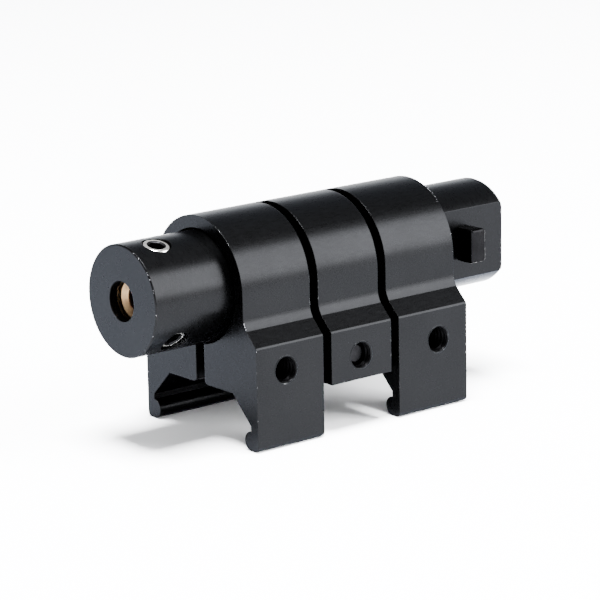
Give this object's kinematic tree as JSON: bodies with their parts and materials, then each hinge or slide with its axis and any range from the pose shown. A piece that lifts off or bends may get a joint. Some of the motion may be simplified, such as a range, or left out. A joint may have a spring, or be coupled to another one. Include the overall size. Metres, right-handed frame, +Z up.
{
  "type": "rail-mounted laser sight",
  "caption": "Compact black laser tube held in the slotted ring of a one-piece clamp that grips an accessory rail, with adjusting screws at the nose and a tail switch.",
  "frame": {"origin": "centre of the overall box in X and Y, at the underside of the rail jaws (Z = 0)", "axes": "+X along the laser axis from nose to tail, -Y the switch and tapped-hole side, +Z up out of the rail"},
  "size_m": [0.0628, 0.0246, 0.0303],
  "materials": {
    "black_anodised_clamp": "satin black anodised extrusion",
    "black_anodised_tube": "satin black anodised, turned",
    "steel_screw": "blackened steel",
    "bright_steel": "bright steel",
    "brass": "turned brass",
    "lens": "coated lens",
    "diode_gold": "gold plated",
    "circuit_board": "solder masked board",
    "chip_black": "moulded package",
    "rubber": "black rubber",
    "sleeve_plastic": "natural plastic",
    "cell_steel": "nickel plated steel",
    "housing_plastic": "moulded plastic",
    "knob_plastic": "glossy moulded plastic",
    "terminal_metal": "tinned brass"
  },
  "bodies": {
    "mount": {"clamp_mount": "black_anodised_clamp"},
    "front_rail_screw": {"front_rail_screw": "steel_screw"},
    "middle_ring_screw": {"middle_ring_screw": "steel_screw"},
    "rear_rail_screw": {"rear_rail_screw": "steel_screw"},
    "tube": {"laser_tube": "black_anodised_tube", "battery_sleeve": "sleeve_plastic", "front_cell": "cell_steel", "middle_cell": "cell_steel", "rear_cell": "cell_steel"},
    "top_adjusting_screw": {"top_adjusting_screw": "bright_steel"},
    "right_adjusting_screw": {"right_adjusting_screw": "bright_steel"},
    "left_adjusting_screw": {"left_adjusting_screw": "bright_steel"},
    "pivot_ring": {"pivot_ring": "rubber"},
    "laser_module": {"module_barrel": "brass", "lens_retainer": "brass", "collimating_lens": "lens", "laser_diode": "diode_gold", "driver_board": "circuit_board", "driver_chips": "chip_black", "driver_spring": "bright_steel"},
    "cap_seal": {"cap_o_ring": "rubber"},
    "tail_cap": {"tail_cap": "black_anodised_tube", "switch_housing": "housing_plastic", "switch_terminals": "terminal_metal", "contact_plate": "brass", "contact_bush": "sleeve_plastic"},
    "switch_knob": {"switch_knob": "knob_plastic"}
  },
  "joints": [
    {"name": "front_rail_screw_turn", "type": "hinge", "parent": "mount", "child": "front_rail_screw", "pos_m": [-0.01385, 0.00895, 0.0106], "axis": [0, 1, 0], "range_deg": [0, 720]},
    {"name": "middle_ring_screw_turn", "type": "hinge", "parent": "mount", "child": "middle_ring_screw", "pos_m": [-0.0008, 0.00895, 0.0102], "axis": [0, 1, 0], "range_deg": [0, 720]},
    {"name": "rear_rail_screw_turn", "type": "hinge", "parent": "mount", "child": "rear_rail_screw", "pos_m": [0.0132, 0.00895, 0.0099], "axis": [0, 1, 0], "range_deg": [0, 720]},
    {"name": "tube_slide", "type": "slide", "parent": "mount", "child": "tube", "axis": [1, 0, 0], "range_m": [-0.003, 0.003]},
    {"name": "top_adjusting_screw_turn", "type": "hinge", "parent": "tube", "child": "top_adjusting_screw", "pos_m": [-0.0269, 0, 0.0207], "axis": [0, -0.2588, 0.9659], "range_deg": [-180, 180]},
    {"name": "right_adjusting_screw_turn", "type": "hinge", "parent": "tube", "child": "right_adjusting_screw", "pos_m": [-0.0269, 0, 0.0207], "axis": [0, -0.7071, -0.7071], "range_deg": [-180, 180]},
    {"name": "left_adjusting_screw_turn", "type": "hinge", "parent": "tube", "child": "left_adjusting_screw", "pos_m": [-0.0269, 0, 0.0207], "axis": [0, 0.9659, -0.2588], "range_deg": [-180, 180]},
    {"name": "beam_elevation", "type": "hinge", "parent": "tube", "child": "pivot_ring", "pos_m": [-0.0137, 0, 0.0207], "axis": [0, 1, 0], "range_deg": [-1, 1]},
    {"name": "beam_windage", "type": "hinge", "parent": "pivot_ring", "child": "laser_module", "pos_m": [-0.0137, 0, 0.0207], "axis": [0, 0, 1], "range_deg": [-1, 1]},
    {"name": "cap_travel", "type": "slide", "parent": "tube", "child": "cap_seal", "axis": [1, 0, 0], "range_m": [0, 0.004]},
    {"name": "cap_turn", "type": "hinge", "parent": "cap_seal", "child": "tail_cap", "pos_m": [0.025, 0, 0.0207], "axis": [1, 0, 0], "range_deg": [0, 1900]},
    {"name": "switch_slide", "type": "slide", "parent": "tail_cap", "child": "switch_knob", "axis": [1, 0, 0], "range_m": [0, 0.0022]}
  ],
  "couplings": [
    {"joint": "cap_travel", "follows": "cap_turn", "m_per_rad": 0.00011937}
  ]
}
